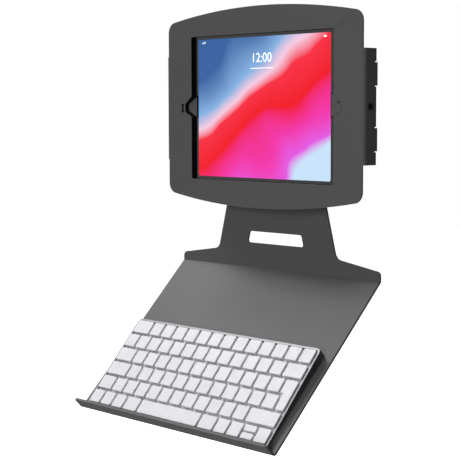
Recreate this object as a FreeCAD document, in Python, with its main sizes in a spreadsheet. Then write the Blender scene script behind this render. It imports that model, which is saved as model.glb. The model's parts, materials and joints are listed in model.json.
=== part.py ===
import FreeCAD, Part
import os
from math import cos, radians, sin, tan

import Sketcher

# Tablet stand: a lockable tablet enclosure on an upright, with a keyboard tray bent out of the
# same sheet.  The frame has its origin at the centre of the VESA hole pattern on the
# upright's back face, +X to the user's right, +Y towards the wall or arm, +Z up.

SIZES = [
    # the bent sheet: upright, neck, tray and lip
    ("sheet", 2.5, "thickness of the tray bracket"),
    ("upright_half", 65, "half width of the upright behind the enclosure"),
    ("upright_top", 65, "height of the upright's top edge"),
    ("neck_start", -68, "height where the neck begins to widen"),
    ("neck_foot_half", 89, "half width of the neck at its foot"),
    ("neck_foot", -157.5, "height of the neck's foot"),
    ("shoulder_end", -166.5, "height of the shoulder at the tray's side"),
    ("bend_level", -175.8, "height of the bend, on the tray's upper face"),
    ("tray_width", 298, "width of the tray"),
    ("tray_depth", 215, "bend to the lip's outer face, along the slope"),
    ("tray_angle", 45, "slope of the tray below level, degrees"),
    ("lip_height", 14.5, "lip above the tray's upper face"),
    ("bend_radius", 1.5, "inside radius of the sheet bends"),
    ("slot_top_half", 39.5, "half width of the neck slot at its top"),
    ("slot_foot_half", 43, "half width of the neck slot at its foot"),
    ("slot_top", -135.7, "height of the slot's top edge"),
    ("slot_foot", -148.5, "height of the slot's bottom edge"),
    ("vesa_pitch", 100, "VESA hole spacing"),
    ("vesa_bore", 2.0, "bore radius of the VESA inserts"),
    ("insert_shank", 2.8, "radius of the insert holes in the sheet"),
    ("insert_head", 4.0, "radius of the insert heads"),
    ("insert_tall", 3.0, "height of the insert heads"),
    ("screw_pitch", 75, "spacing of the screws that hold the enclosure"),
    ("screw_shank", 2.0, "shank radius of those screws"),
    ("screw_hole", 2.2, "their hole radius"),
    ("sink_mouth", 3.9, "mouth radius of the countersinks"),
    ("screw_head", 3.6, "head radius of the screws"),
    ("screw_reach", 7.9, "length of the screws"),
    ("socket_flat", 1.25, "half width across flats of their sockets"),
    ("socket_depth", 1.2, "depth of the sockets"),
    ("nut_flat", 3.5, "half width across flats of the nuts"),
    ("nut_tall", 3.0, "height of the nuts"),
    ("neck_foot_round", 9, "rounding where the neck meets the shoulder"),
    ("shoulder_round", 5, "rounding of the shoulders' ends"),
    ("upright_round", 12, "corner radius of the upright's top"),
    ("neck_round", 25, "rounding where the neck begins to widen"),
    ("slot_round", 2.5, "corner radius of the neck slot"),
    ("lip_round", 3.5, "corner radius of the lip's ends"),
    # the front cover
    ("skin", 2.0, "sheet thickness of the enclosure"),
    ("cover_front", 27.0, "front of the cover, ahead of the upright's back face"),
    ("cover_width", 291.6, "width of the cover"),
    ("cover_crown", 108, "half height of the cover at the middle"),
    ("crown_radius", 799, "radius of the bowed top and bottom edges"),
    ("cover_corner", 12, "corner radius of the cover"),
    ("window_width", 215, "width of the window"),
    ("window_height", 158, "height of the window"),
    ("window_round", 2, "corner radius of the window"),
    ("notch_top", 13.2, "height of the side notches' upper corner at the window"),
    ("notch_bottom", -9.6, "height of their lower corner at the window"),
    ("notch_tip", 4.4, "half height of the notches at their tip"),
    ("notch_round", 3.6, "corner radius of the notches' tip"),
    ("notch_reach", 118.2, "distance of the notch tips from the middle"),
    ("wing_half", 58, "half height of the side wings"),
    ("wing_width", 297.4, "width over the wings"),
    ("wing_radius", 3, "outside radius of the wing bends"),
    ("wing_depth", 15.7, "cover front to the foot of the wings"),
    ("tab_depth", 19.6, "cover front to the end of the hook tabs"),
    ("tab_inner", 21, "height of the tabs' inner edge"),
    ("tab_outer", 44.2, "height of the tabs' outer edge"),
    # the back shell
    ("shell_width", 262, "width over the shell's walls"),
    ("shell_height", 182, "height over the shell's walls"),
    ("floor_back", 9.0, "back of the shell's floor, ahead of the upright's back face"),
    ("wall_front", 24.6, "front of the shell's walls"),
    ("ear_width", 297, "width over the shell's ears"),
    ("shell_round", 6, "corner radius of the shell"),
    ("dish_width", 90, "width of the mounting dish"),
    ("hook_room", 3.8, "depth of the hook notches in the ears"),
    ("hook_gap", 1.0, "room above and below each hook tab"),
    ("outlet_half", 19, "half width of the cable outlet"),
    ("outlet_back", 14, "back edge of the cable outlet, which is open to the front"),
    # the button and camera covers
    ("plate", 1.0, "thickness of the button and camera covers"),
    ("plate_back", 23.1, "back face of those covers"),
    ("plate_mouth", 100.9, "their inner edge, from the middle"),
    ("plate_tip", 126, "their outer edge, from the middle"),
    ("tail_half", 4.2, "half height of their tails"),
    ("standoff_wide", 1.6, "width of the covers' standoffs"),
    ("boss_gap", 0.35, "gap round the camera cover's boss"),
    ("button_boss", 0.8, "height of the home button cover's boss"),
    ("boss_tip", 113.4, "distance of that boss's tip from the middle"),
    ("boss_top", 11.4, "height of its upper corner at the window"),
    ("boss_bottom", -9.2, "height of its lower corner at the window"),
    ("boss_tip_top", 4.5, "height of its tip's upper corner"),
    ("boss_tip_bottom", -2.8, "height of its tip's lower corner"),
    ("boss_round", 2, "corner radius of its tip"),
    ("sensor_hole", 1.3, "radius of the hole in the camera cover"),
    ("sensor_place", 114.2, "distance of that hole from the middle"),
    ("sensor_level", 4.6, "height of that hole"),
    ("slit_centre", 122.3, "distance of the slit from the middle"),
    ("slit_waist", 1.5, "half width of the slit at its waist"),
    ("slit_end_half", 2.2, "half width of the slit's ends"),
    ("slit_end_tall", 1.5, "height of the slit's wider ends"),
    ("slit_tall", 4.7, "half height of the slit"),
    ("ear_thick", 1.2, "thickness of the folded ear in the slit"),
    ("ear_recess", 1.3, "end of the ear below the cover's front"),
    # the cam lock
    ("lock_level", 18.3, "lock axis, ahead of the upright's back face"),
    ("barrel_radius", 3.5, "radius of the lock barrel"),
    ("barrel_inner", 138, "inner end of the barrel, from the middle"),
    ("barrel_outer", 149.1, "outer end of the barrel"),
    ("collar_radius", 4.8, "radius of the barrel's collar"),
    ("collar_thick", 1.1, "thickness of the collar"),
    ("plug_bore", 2.5, "bore radius of the barrel"),
    ("plug_play", 0.05, "radial clearance of the plug"),
    ("cam_inner", 135.4, "inner face of the cam"),
    ("cam_thick", 1.5, "thickness of the cam"),
    ("cam_reach", 6.2, "length of the cam arm"),
    ("cam_hub", 3.0, "radius of the cam's hub"),
    ("cam_half", 1.6, "half width of the cam arm"),
    ("lock_nut_flat", 4.4, "half width across flats of the lock's nut"),
    ("lock_nut_tall", 2.2, "height of the lock's nut"),
    ("keyway_half", 0.5, "half width of the keyway"),
    ("keyway_tall", 1.7, "half height of the keyway"),
    ("keyway_deep", 8, "depth of the keyway"),
    ("stub_radius", 1.4, "radius of the plug's stub for the cam"),
    ("strike_skin", 1.3, "sheet thickness of the strike"),
    ("strike_side", 1.7, "width of the strike beyond each face of the cam"),
    ("strike_foot", 6, "height of the strike's foot"),
    # the tablet
    ("tablet_width", 250.6, "width of the tablet, lying on its side"),
    ("tablet_height", 174.1, "height of the tablet"),
    ("tablet_thick", 7.5, "thickness of the tablet"),
    ("tablet_corner", 11, "corner radius of the tablet"),
    ("glass_front", 22.7, "front of the glass"),
    ("glass_thick", 0.8, "thickness of the glass"),
    ("display_width", 200, "width of the display"),
    ("display_height", 151.2, "height of the display"),
    ("display_thick", 1.0, "thickness of the display"),
    ("button_place", 114.5, "distance of the home button from the middle"),
    ("button_radius", 5.3, "radius of the home button"),
    ("button_thick", 1.1, "thickness of the home button"),
    ("button_play", 0.1, "gap round the home button"),
    # foam
    ("foam_thick", 2.1, "thickness of the foam behind the cover"),
    ("foam_wide", 5, "width of the foam strips"),
    ("back_pad_wide", 30, "width of the foam pads behind the tablet"),
    ("back_pad_half", 60, "half height of those pads"),
    ("back_pad_place", 55, "their inner edge, from the middle"),
    # the keyboard
    ("board_width", 279, "width of the keyboard"),
    ("board_depth", 115, "depth of the keyboard"),
    ("board_place", 153.5, "bend to the keyboard's centre, along the slope"),
    ("board_front", 4.4, "height of the deck at the front edge"),
    ("deck_slope", 3.13, "slope of the deck, degrees"),
    ("board_corner", 5, "corner radius of the keyboard"),
    ("foot_tall", 0.8, "height of the rubber feet"),
    ("foot_radius", 5, "radius of the rubber feet"),
    ("base_thick", 0.8, "thickness of the keyboard's base plate"),
    ("key_wide", 18.95, "key pitch across"),
    ("key_deep", 18.6, "key pitch from row to row"),
    ("key_gap", 3.0, "gap between keys"),
    ("key_room", 0.5, "gap between the outer keys and the case"),
    ("key_rise", 1.6, "key tops above the deck"),
    ("key_thick", 2.0, "thickness of the keycaps"),
    ("key_corner", 1.4, "corner radius of the keycaps"),
    ("switch_level", 1.5, "switch sheet below the deck"),
    ("switch_thick", 1.2, "thickness of the switch sheet"),
    ("switch_corner", 3, "corner radius of the switch sheet"),
    ("cell_wide", 200, "width of the battery pack"),
    ("cell_deep", 22, "depth of the battery pack"),
    ("cell_tall", 3.8, "height of the battery pack"),
    ("cell_place", 36, "battery pack's centre behind the keyboard's centre"),
]

# keys of one row, from the left, in units of one key pitch
ROW_UNITS = {
    "key_row_1": [1.5] + [1] * 13,
    "key_row_2": [1] * 13 + [1.5],
    "key_row_3": [1.5] + [1] * 12,
    "key_row_4": [1.75] + [1] * 12,
    "key_row_5": [1.25] + [1] * 11 + [2.25],
}
BOTTOM_LEFT = [1, 1, 1, 1.25]
BOTTOM_RIGHT = [1.25, 1]
SPACE_UNITS = 5
BOARD_UNITS = 14.5
ROWS = 6


class Dim:
    """A number that carries the spreadsheet formula it was worked out with."""

    def __init__(self, value, formula):
        self.value = float(value)
        self.formula = formula

    def __add__(self, other):
        other = as_dim(other)
        return Dim(self.value + other.value, f"({self.formula} + {other.formula})")

    def __sub__(self, other):
        other = as_dim(other)
        return Dim(self.value - other.value, f"({self.formula} - {other.formula})")

    def __mul__(self, other):
        other = as_dim(other)
        return Dim(self.value * other.value, f"({self.formula} * {other.formula})")

    def __truediv__(self, other):
        other = as_dim(other)
        return Dim(self.value / other.value, f"({self.formula} / {other.formula})")

    def __neg__(self):
        return as_dim(0) - self

    def __radd__(self, other):
        return as_dim(other) + self

    def __rsub__(self, other):
        return as_dim(other) - self

    def __rmul__(self, other):
        return as_dim(other) * self


def as_dim(number):
    return number if isinstance(number, Dim) else Dim(number, repr(float(number)))


def sine(angle):
    return Dim(sin(radians(angle.value)), f"sin({angle.formula})")


def cosine(angle):
    return Dim(cos(radians(angle.value)), f"cos({angle.formula})")


def tangent(angle):
    return Dim(tan(radians(angle.value)), f"tan({angle.formula})")


class Sizes:
    """The driving dimensions, read back from the spreadsheet as Dims."""

    def __init__(self, sheet):
        for row, (alias, value, note) in enumerate(SIZES, start=1):
            sheet.set(f"A{row}", note)
            sheet.set(f"B{row}", str(value))
            sheet.setAlias(f"B{row}", alias)
        sheet.recompute()
        for alias, _, _ in SIZES:
            setattr(self, alias, Dim(sheet.get(alias), f"{sheet.Name}.{alias}"))


doc = FreeCAD.newDocument("TabletStand")
size = Sizes(doc.addObject("Spreadsheet::Sheet", "Sizes"))


# ---------------------------------------------------------------- helpers

def bind(target, path, dim):
    target.setExpression(path, as_dim(dim).formula)


def new_body(label):
    body = doc.addObject("PartDesign::Body", label)
    body.Label = label
    body.AllowCompound = True
    return body


def new_sketch(body, role, offset=0):
    """A sketch on one of the body's own origin planes, moved along the plane's normal."""
    sketch = body.newObject("Sketcher::SketchObject", "outline")
    plane = [item for item in body.Origin.OriginFeatures if item.Role == role][0]
    sketch.AttachmentSupport = [(plane, "")]
    sketch.MapMode = "FlatFace"
    bind(sketch, "AttachmentOffset.Base.z", offset)
    return sketch


def front_sketch(body, ahead=0):
    """A sketch that faces the user, at a distance ahead of the upright's back face."""
    return new_sketch(body, "XZ_Plane", ahead)


def side_sketch(body):
    return new_sketch(body, "YZ_Plane")


def top_sketch(body, level=0):
    return new_sketch(body, "XY_Plane", level)


def fix_point(sketch, curve, end, spot):
    """Tie one end of a sketch curve to a place worked out from the driving dimensions."""
    for kind, dim in zip(("DistanceX", "DistanceY"), spot):
        dim = as_dim(dim)
        number = sketch.addConstraint(Sketcher.Constraint(kind, -1, 1, curve, end, dim.value))
        sketch.setExpression(f"Constraints[{number}]", dim.formula)


def vector(spot):
    return FreeCAD.Vector(as_dim(spot[0]).value, as_dim(spot[1]).value, 0)


def add_loop(sketch, corners):
    """A closed loop of straight lines through the corners."""
    first = sketch.GeometryCount
    count = len(corners)
    for index, corner in enumerate(corners):
        following = corners[(index + 1) % count]
        sketch.addGeometry(Part.LineSegment(vector(corner), vector(following)))
    for index, corner in enumerate(corners):
        following = first + (index + 1) % count
        sketch.addConstraint(Sketcher.Constraint("Coincident", first + index, 2, following, 1))
        fix_point(sketch, first + index, 1, corner)


def add_box_loop(sketch, left, right, low, high):
    add_loop(sketch, [(left, low), (right, low), (right, high), (left, high)])


def add_centred_loop(sketch, width, height):
    add_box_loop(sketch, -width / 2, width / 2, -height / 2, height / 2)


def add_circle(sketch, radius, centre=(0, 0)):
    radius = as_dim(radius)
    curve = sketch.addGeometry(Part.Circle(vector(centre), FreeCAD.Vector(0, 0, 1), radius.value))
    fix_point(sketch, curve, 3, centre)
    number = sketch.addConstraint(Sketcher.Constraint("Radius", curve, radius.value))
    sketch.setExpression(f"Constraints[{number}]", radius.formula)


def add_hexagon(sketch, half_flat, centre=(0, 0)):
    """A regular hexagon given by half its width across flats."""
    radius = half_flat / cosine(Dim(30, "30"))
    corners = []
    for step in range(6):
        turn = Dim(60 * step, str(60 * step))
        corners.append((centre[0] + radius * cosine(turn), centre[1] + radius * sine(turn)))
    add_loop(sketch, corners)


def square_pattern(pitch):
    half = pitch / 2
    return [(half, half), (-half, half), (-half, -half), (half, -half)]


def pad(body, sketch, length, both_ways=False, backwards=False):
    """Add material, along the sketch's normal unless it is told otherwise."""
    feature = body.newObject("PartDesign::Pad", "pad")
    feature.Profile = sketch
    bind(feature, "Length", length)
    feature.SideType = "Symmetric" if both_ways else "One side"
    feature.Reversed = backwards
    doc.recompute()
    return feature


def pocket(body, sketch, length=None, both_ways=False, along_normal=False):
    """Remove material, against the sketch's normal unless it is told otherwise."""
    before = body.Shape.Volume
    feature = body.newObject("PartDesign::Pocket", "pocket")
    feature.Profile = sketch
    feature.SideType = "Symmetric" if both_ways else "One side"
    feature.Reversed = along_normal
    if length is None:
        feature.Type = "ThroughAll"
    else:
        bind(feature, "Length", length)
    doc.recompute()
    if body.Shape.Volume >= before:
        raise RuntimeError(f"a pocket in {body.Label} cuts nothing")
    return feature


def edges_where(body, wanted):
    """Names of the edges whose middle point and direction suit the test."""
    names = []
    for index, edge in enumerate(body.Shape.Edges, start=1):
        middle = edge.valueAt((edge.FirstParameter + edge.LastParameter) / 2)
        way = edge.tangentAt((edge.FirstParameter + edge.LastParameter) / 2)
        if wanted(middle, way):
            names.append(f"Edge{index}")
    if not names:
        raise RuntimeError(f"no edge of {body.Label} suits the test")
    return names


def round_edges(body, radius, wanted):
    names = edges_where(body, wanted)
    tip = body.Tip
    feature = body.newObject("PartDesign::Fillet", "fillet")
    feature.Base = (tip, names)
    bind(feature, "Radius", radius)
    doc.recompute()


def bevel_edges(body, width, wanted):
    names = edges_where(body, wanted)
    tip = body.Tip
    feature = body.newObject("PartDesign::Chamfer", "chamfer")
    feature.Base = (tip, names)
    bind(feature, "Size", width)
    doc.recompute()


def near(value, dim, slack=0.02):
    return abs(value - as_dim(dim).value) < slack


def lies_along(way, axis):
    return abs(getattr(way, axis)) > 0.99


def place(obj, x=0, y=0, z=0):
    bind(obj, "Placement.Base.x", x)
    bind(obj, "Placement.Base.y", y)
    bind(obj, "Placement.Base.z", z)


def slope_point(along, above):
    """Y and Z of a point this far down the tray's slope and this far above its face."""
    level = cosine(size.tray_angle)
    fall = sine(size.tray_angle)
    across = -size.sheet - along * level - above * fall
    height = size.bend_level - along * fall + above * level
    return across, height


def place_on_tray(obj, along, above=0, tilt=0):
    """Stand an object on the sloping tray, tilted up further towards its back by tilt."""
    across, height = slope_point(as_dim(along), as_dim(above))
    obj.Placement = FreeCAD.Placement(FreeCAD.Vector(), FreeCAD.Rotation(FreeCAD.Vector(1, 0, 0), 1))
    place(obj, 0, across, height)
    bind(obj, "Placement.Rotation.Angle", size.tray_angle + tilt)


def plain_box(label, x, y, z):
    """A Part box between pairs of bounds."""
    box = doc.addObject("Part::Box", label)
    box.Label = label
    bind(box, "Length", x[1] - x[0])
    bind(box, "Width", y[1] - y[0])
    bind(box, "Height", z[1] - z[0])
    place(box, x[0], y[0], z[0])
    return box


def bar_along_x(label, radius, start, end, ahead):
    """A Part cylinder along X, on the lock's axis."""
    bar = doc.addObject("Part::Cylinder", label)
    bar.Label = label
    bind(bar, "Radius", radius)
    bind(bar, "Height", end - start)
    bar.Placement = FreeCAD.Placement(FreeCAD.Vector(), FreeCAD.Rotation(FreeCAD.Vector(0, 1, 0), 90))
    place(bar, start, -ahead, 0)
    return bar


def joined(label, pieces):
    result = doc.addObject("Part::MultiFuse", label)
    result.Label = label
    result.Shapes = pieces
    return result


def taken_from(label, base, tool):
    result = doc.addObject("Part::Cut", label)
    result.Label = label
    result.Base = base
    result.Tool = tool
    return result


def group(label, pieces):
    """Separate solids that share one node."""
    result = doc.addObject("Part::Compound", label)
    result.Label = label
    result.Links = pieces
    return result


# ---------------------------------------------------------------- the bent sheet

def tray_bracket():
    """Upright, neck, tray and lip, folded from one sheet and pierced afterwards."""
    body = new_body("tray_bracket")
    inner_foot = slope_point(size.tray_depth - size.sheet, as_dim(0))
    lip_inner = slope_point(size.tray_depth - size.sheet, size.lip_height)
    lip_outer = slope_point(size.tray_depth, size.lip_height)
    outer_foot = slope_point(size.tray_depth, -size.sheet)
    heel = size.bend_level - size.sheet * tangent(size.tray_angle / 2)
    profile = side_sketch(body)
    add_loop(profile, [
        (0, heel),
        (0, size.upright_top),
        (-size.sheet, size.upright_top),
        (-size.sheet, size.bend_level),
        inner_foot,
        lip_inner,
        lip_outer,
        outer_foot,
    ])
    pad(body, profile, size.tray_width, both_ways=True)

    def fold(y, z):
        return lambda middle, way: lies_along(way, "x") and near(middle.y, y) and near(middle.z, z)

    outside = size.bend_radius + size.sheet
    round_edges(body, size.bend_radius, fold(-size.sheet, size.bend_level))
    round_edges(body, size.bend_radius, fold(*inner_foot))
    round_edges(body, outside, fold(0, heel))
    round_edges(body, outside, fold(*outer_foot))
    trim_upright(body)
    pierce_upright(body)
    round_lip_ends(body)
    return body


def trim_upright(body):
    """Cut the upright back to its neck on both sides, down to the shoulders."""
    beyond = size.tray_width
    cut = front_sketch(body)
    for side in (1, -1):
        add_loop(cut, [
            (side * size.upright_half, size.upright_top * 2),
            (side * size.upright_half, size.neck_start),
            (side * size.neck_foot_half, size.neck_foot),
            (side * size.tray_width / 2, size.shoulder_end),
            (side * beyond, size.shoulder_end),
            (side * beyond, size.upright_top * 2),
        ])
    pocket(body, cut, both_ways=True)

    def corner(x, z):
        return lambda middle, way: lies_along(way, "y") and near(abs(middle.x), x) and near(middle.z, z)

    round_edges(body, size.neck_foot_round, corner(size.neck_foot_half, size.neck_foot))
    round_edges(body, size.shoulder_round, corner(size.tray_width / 2, size.shoulder_end))
    round_edges(body, size.upright_round, corner(size.upright_half, size.upright_top))
    round_edges(body, size.neck_round, corner(size.upright_half, size.neck_start))


def pierce_upright(body):
    """The neck slot and both bolt patterns."""
    slot = front_sketch(body)
    add_loop(slot, [
        (-size.slot_foot_half, size.slot_foot),
        (size.slot_foot_half, size.slot_foot),
        (size.slot_top_half, size.slot_top),
        (-size.slot_top_half, size.slot_top),
    ])
    pocket(body, slot, both_ways=True)

    def slot_corner(middle, way):
        upper = near(abs(middle.x), size.slot_top_half) and near(middle.z, size.slot_top)
        lower = near(abs(middle.x), size.slot_foot_half) and near(middle.z, size.slot_foot)
        return lies_along(way, "y") and (upper or lower)

    round_edges(body, size.slot_round, slot_corner)
    holes = front_sketch(body)
    for spot in square_pattern(size.vesa_pitch):
        add_circle(holes, size.insert_shank, spot)
    for spot in square_pattern(size.screw_pitch):
        add_circle(holes, size.screw_hole, spot)
    pocket(body, holes, both_ways=True)

    def screw_mouth(middle, way):
        reach = size.screw_pitch / 2
        return (near(middle.y, 0) and near(abs(middle.z), reach, 0.1)
                and near(abs(abs(middle.x) - reach.value), size.screw_hole, 0.1))

    bevel_edges(body, size.sink_mouth - size.screw_hole, screw_mouth)


def round_lip_ends(body):
    """Take the sharp corners off both ends of the lip."""
    middle_of_top = slope_point(size.tray_depth - size.sheet / 2, size.lip_height)

    def lip_corner(middle, way):
        at_side = near(abs(middle.x), size.tray_width / 2)
        at_top = near(middle.y, middle_of_top[0], 0.6) and near(middle.z, middle_of_top[1], 0.6)
        return at_side and at_top and abs(way.x) < 0.1

    round_edges(body, size.lip_round, lip_corner)


def vesa_inserts():
    """Four threaded inserts pressed into the upright from its front."""
    body = new_body("vesa_inserts")
    spots = square_pattern(size.vesa_pitch)
    heads = front_sketch(body, size.sheet)
    shanks = front_sketch(body)
    bores = front_sketch(body)
    for spot in spots:
        add_circle(heads, size.insert_head, spot)
        add_circle(shanks, size.insert_shank - 0.02, spot)
        add_circle(bores, size.vesa_bore, spot)
    pad(body, heads, size.insert_tall)
    pad(body, shanks, size.sheet)
    pocket(body, bores, both_ways=True)
    return body


# ---------------------------------------------------------------- the back shell

def back_shell():
    """Floor with two ears, walls round the tablet, and a dish that reaches the upright."""
    body = new_body("back_shell")
    floor = front_sketch(body, size.floor_back)
    add_centred_loop(floor, size.shell_width, size.shell_height)
    pad(body, floor, size.skin)
    ears = front_sketch(body, size.floor_back)
    add_centred_loop(ears, size.ear_width, size.wing_half * 2)
    pad(body, ears, size.skin)
    walls = front_sketch(body, size.floor_back)
    add_centred_loop(walls, size.shell_width, size.shell_height)
    add_centred_loop(walls, size.shell_width - size.skin * 2, size.shell_height - size.skin * 2)
    pad(body, walls, size.wall_front - size.floor_back)

    def outer_corner(middle, way):
        return (lies_along(way, "y") and near(abs(middle.x), size.shell_width / 2)
                and near(abs(middle.z), size.shell_height / 2))

    round_edges(body, size.shell_round, outer_corner)
    mounting_dish(body)
    pierce_shell(body)
    return body


def mounting_dish(body):
    opening = front_sketch(body, size.floor_back)
    add_centred_loop(opening, size.dish_width - size.skin * 2, size.dish_width - size.skin * 2)
    pocket(body, opening, size.skin, along_normal=True)
    ring = front_sketch(body, size.sheet)
    add_centred_loop(ring, size.dish_width, size.dish_width)
    add_centred_loop(ring, size.dish_width - size.skin * 2, size.dish_width - size.skin * 2)
    pad(body, ring, size.floor_back + size.skin - size.sheet)
    bottom = front_sketch(body, size.sheet)
    add_centred_loop(bottom, size.dish_width, size.dish_width)
    pad(body, bottom, size.skin)


def pierce_shell(body):
    """Screw holes in the dish, hook notches in the ears, the cable outlet below."""
    holes = front_sketch(body)
    for spot in square_pattern(size.screw_pitch):
        add_circle(holes, size.screw_hole, spot)
    pocket(body, holes, size.sheet + size.skin, along_normal=True)
    notches = front_sketch(body)
    outer = size.wing_width / 2 + 1
    inner = size.wing_width / 2 - size.hook_room
    low = size.tab_inner - size.hook_gap
    high = size.tab_outer + size.hook_gap
    for side in (1, -1):
        add_box_loop(notches, side * inner, side * outer, low, high)
        add_box_loop(notches, side * inner, side * outer, -high, -low)
    pocket(body, notches, both_ways=True)
    outlet = top_sketch(body)
    beyond = size.wall_front + 1
    add_box_loop(outlet, -size.outlet_half, size.outlet_half, -beyond, -size.outlet_back)
    pocket(body, outlet)


def enclosure_screws():
    """Four countersunk screws from behind, with hexagon sockets."""
    body = new_body("enclosure_screws")
    spots = square_pattern(size.screw_pitch)
    cone = size.screw_head - size.screw_shank
    rim = 0.1
    heads = front_sketch(body)
    shanks = front_sketch(body)
    sockets = front_sketch(body)
    for spot in spots:
        add_circle(heads, size.screw_head, spot)
        add_circle(shanks, size.screw_shank, spot)
        add_hexagon(sockets, size.socket_flat, spot)
    pad(body, heads, cone + rim)

    def cone_edge(middle, way):
        return near(middle.y, -cone - rim)

    bevel_edges(body, cone, cone_edge)
    pad(body, shanks, size.screw_reach)
    pocket(body, sockets, size.socket_depth, along_normal=True)
    return body


def enclosure_nuts():
    """Four nuts in the dish, on the screws' ends."""
    body = new_body("enclosure_nuts")
    blanks = front_sketch(body, size.sheet + size.skin)
    bores = front_sketch(body)
    for spot in square_pattern(size.screw_pitch):
        add_hexagon(blanks, size.nut_flat, spot)
        add_circle(bores, size.screw_shank + 0.03, spot)
    pad(body, blanks, size.nut_tall)
    pocket(body, bores, both_ways=True)
    return body


# ---------------------------------------------------------------- the front cover

def front_cover():
    """Bowed face plate with a window, and two folded wings that end in hook tabs."""
    body = new_body("front_cover")
    back_face = size.cover_front - size.skin
    face_plate(body, back_face)
    wings(body, back_face)
    window(body)
    lock_hole = side_sketch(body)
    add_circle(lock_hole, size.barrel_radius + 0.05, (-size.lock_level, 0))
    pocket(body, lock_hole, along_normal=True)
    return body


def face_plate(body, back_face):
    """The bowed outline is a square plate cut by two large circles, then rounded."""
    plate = front_sketch(body, back_face)
    add_centred_loop(plate, size.cover_width, size.cover_crown * 2)
    pad(body, plate, size.skin)
    half = size.cover_width / 2
    side_level = crown_level(half)
    for up in (1, -1):
        waste = front_sketch(body, back_face)
        add_bowed_waste(waste, up, half + 1)
        pocket(body, waste, both_ways=True)

    def plate_corner(middle, way):
        return (lies_along(way, "y") and near(abs(middle.x), half)
                and near(abs(middle.z), side_level, 0.2))

    round_edges(body, size.cover_corner, plate_corner)


def crown_level(across):
    """Height of the bowed edge at a distance from the middle."""
    drop = across * across / (size.crown_radius * 2)
    correction = drop * drop / (size.crown_radius * 2)
    return size.cover_crown - drop - correction


def add_bowed_waste(sketch, up, reach):
    """The sliver between the square plate and its bowed edge, closed beyond the plate."""
    level = up * crown_level(reach)
    beyond = up * (size.cover_crown + 5)
    corners = [(-reach, level), (-reach, beyond), (reach, beyond), (reach, level)]
    for start, end in zip(corners, corners[1:]):
        curve = sketch.addGeometry(Part.LineSegment(vector(start), vector(end)))
        fix_point(sketch, curve, 1, start)
        fix_point(sketch, curve, 2, end)
    crown = (as_dim(0), up * size.cover_crown)
    arc = sketch.addGeometry(Part.Arc(vector(corners[-1]), vector(crown), vector(corners[0])))
    first_end, last_end = (1, 2) if up > 0 else (2, 1)
    sketch.addConstraint(Sketcher.Constraint("Coincident", arc, first_end, curve, 2))
    sketch.addConstraint(Sketcher.Constraint("Coincident", arc, last_end, 0, 1))
    radius = sketch.addConstraint(Sketcher.Constraint("Radius", arc, size.crown_radius.value))
    sketch.setExpression(f"Constraints[{radius}]", size.crown_radius.formula)


def wings(body, back_face):
    profile = top_sketch(body)
    outer = size.wing_width / 2
    inner = outer - size.skin
    add_loop(profile, [
        (-outer, -size.cover_front),
        (outer, -size.cover_front),
        (outer, size.tab_depth - size.cover_front),
        (inner, size.tab_depth - size.cover_front),
        (inner, -back_face),
        (-inner, -back_face),
        (-inner, size.tab_depth - size.cover_front),
        (-outer, size.tab_depth - size.cover_front),
    ])
    pad(body, profile, size.wing_half * 2, both_ways=True)
    gaps = side_sketch(body)
    foot = size.wing_depth - size.cover_front
    beyond = size.tab_depth - size.cover_front + 1
    add_box_loop(gaps, foot, beyond, -size.tab_inner, size.tab_inner)
    for side in (1, -1):
        add_box_loop(gaps, foot, beyond, side * size.tab_outer, side * (size.wing_half + 1))
    pocket(body, gaps, both_ways=True)

    def outer_bend(middle, way):
        return (lies_along(way, "z") and near(abs(middle.x), outer)
                and near(middle.y, -size.cover_front))

    def inner_bend(middle, way):
        return lies_along(way, "z") and near(abs(middle.x), inner) and near(middle.y, -back_face)

    round_edges(body, size.wing_radius, outer_bend)
    round_edges(body, size.wing_radius - size.skin, inner_bend)


def window(body):
    opening = front_sketch(body)
    add_centred_loop(opening, size.window_width, size.window_height)
    pocket(body, opening, both_ways=True)

    def window_corner(middle, way):
        return (lies_along(way, "y") and near(abs(middle.x), size.window_width / 2)
                and near(abs(middle.z), size.window_height / 2))

    round_edges(body, size.window_round, window_corner)
    notches = front_sketch(body)
    for side in (1, -1):
        add_loop(notches, notch_corners(side))
    pocket(body, notches, both_ways=True)

    def notch_tip(middle, way):
        return (lies_along(way, "y") and near(abs(middle.x), size.notch_reach)
                and near(abs(middle.z), size.notch_tip))

    round_edges(body, size.notch_round, notch_tip)
    slit = front_sketch(body)
    add_loop(slit, slit_corners())
    pocket(body, slit, both_ways=True)


def notch_corners(side, inset=0):
    """A tapering notch that opens into the window's side, or the same outline drawn further in."""
    mouth = size.window_width / 2
    root = mouth - 3
    reach = size.notch_reach - inset
    tip = size.notch_tip - inset
    top = size.notch_top - inset
    bottom = size.notch_bottom + inset
    return [
        (side * root, bottom),
        (side * mouth, bottom),
        (side * reach, -tip),
        (side * reach, tip),
        (side * mouth, top),
        (side * root, top),
    ]


def slit_corners():
    """An upright slit, wider at both ends."""
    centre = -size.slit_centre
    shoulder = size.slit_tall - size.slit_end_tall
    right_side = [
        (size.slit_end_half, -size.slit_tall),
        (size.slit_end_half, -shoulder),
        (size.slit_waist, -shoulder),
        (size.slit_waist, shoulder),
        (size.slit_end_half, shoulder),
        (size.slit_end_half, size.slit_tall),
    ]
    left_side = [(-across, -up) for across, up in right_side]
    return [(centre + across, up) for across, up in right_side + left_side]


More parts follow.
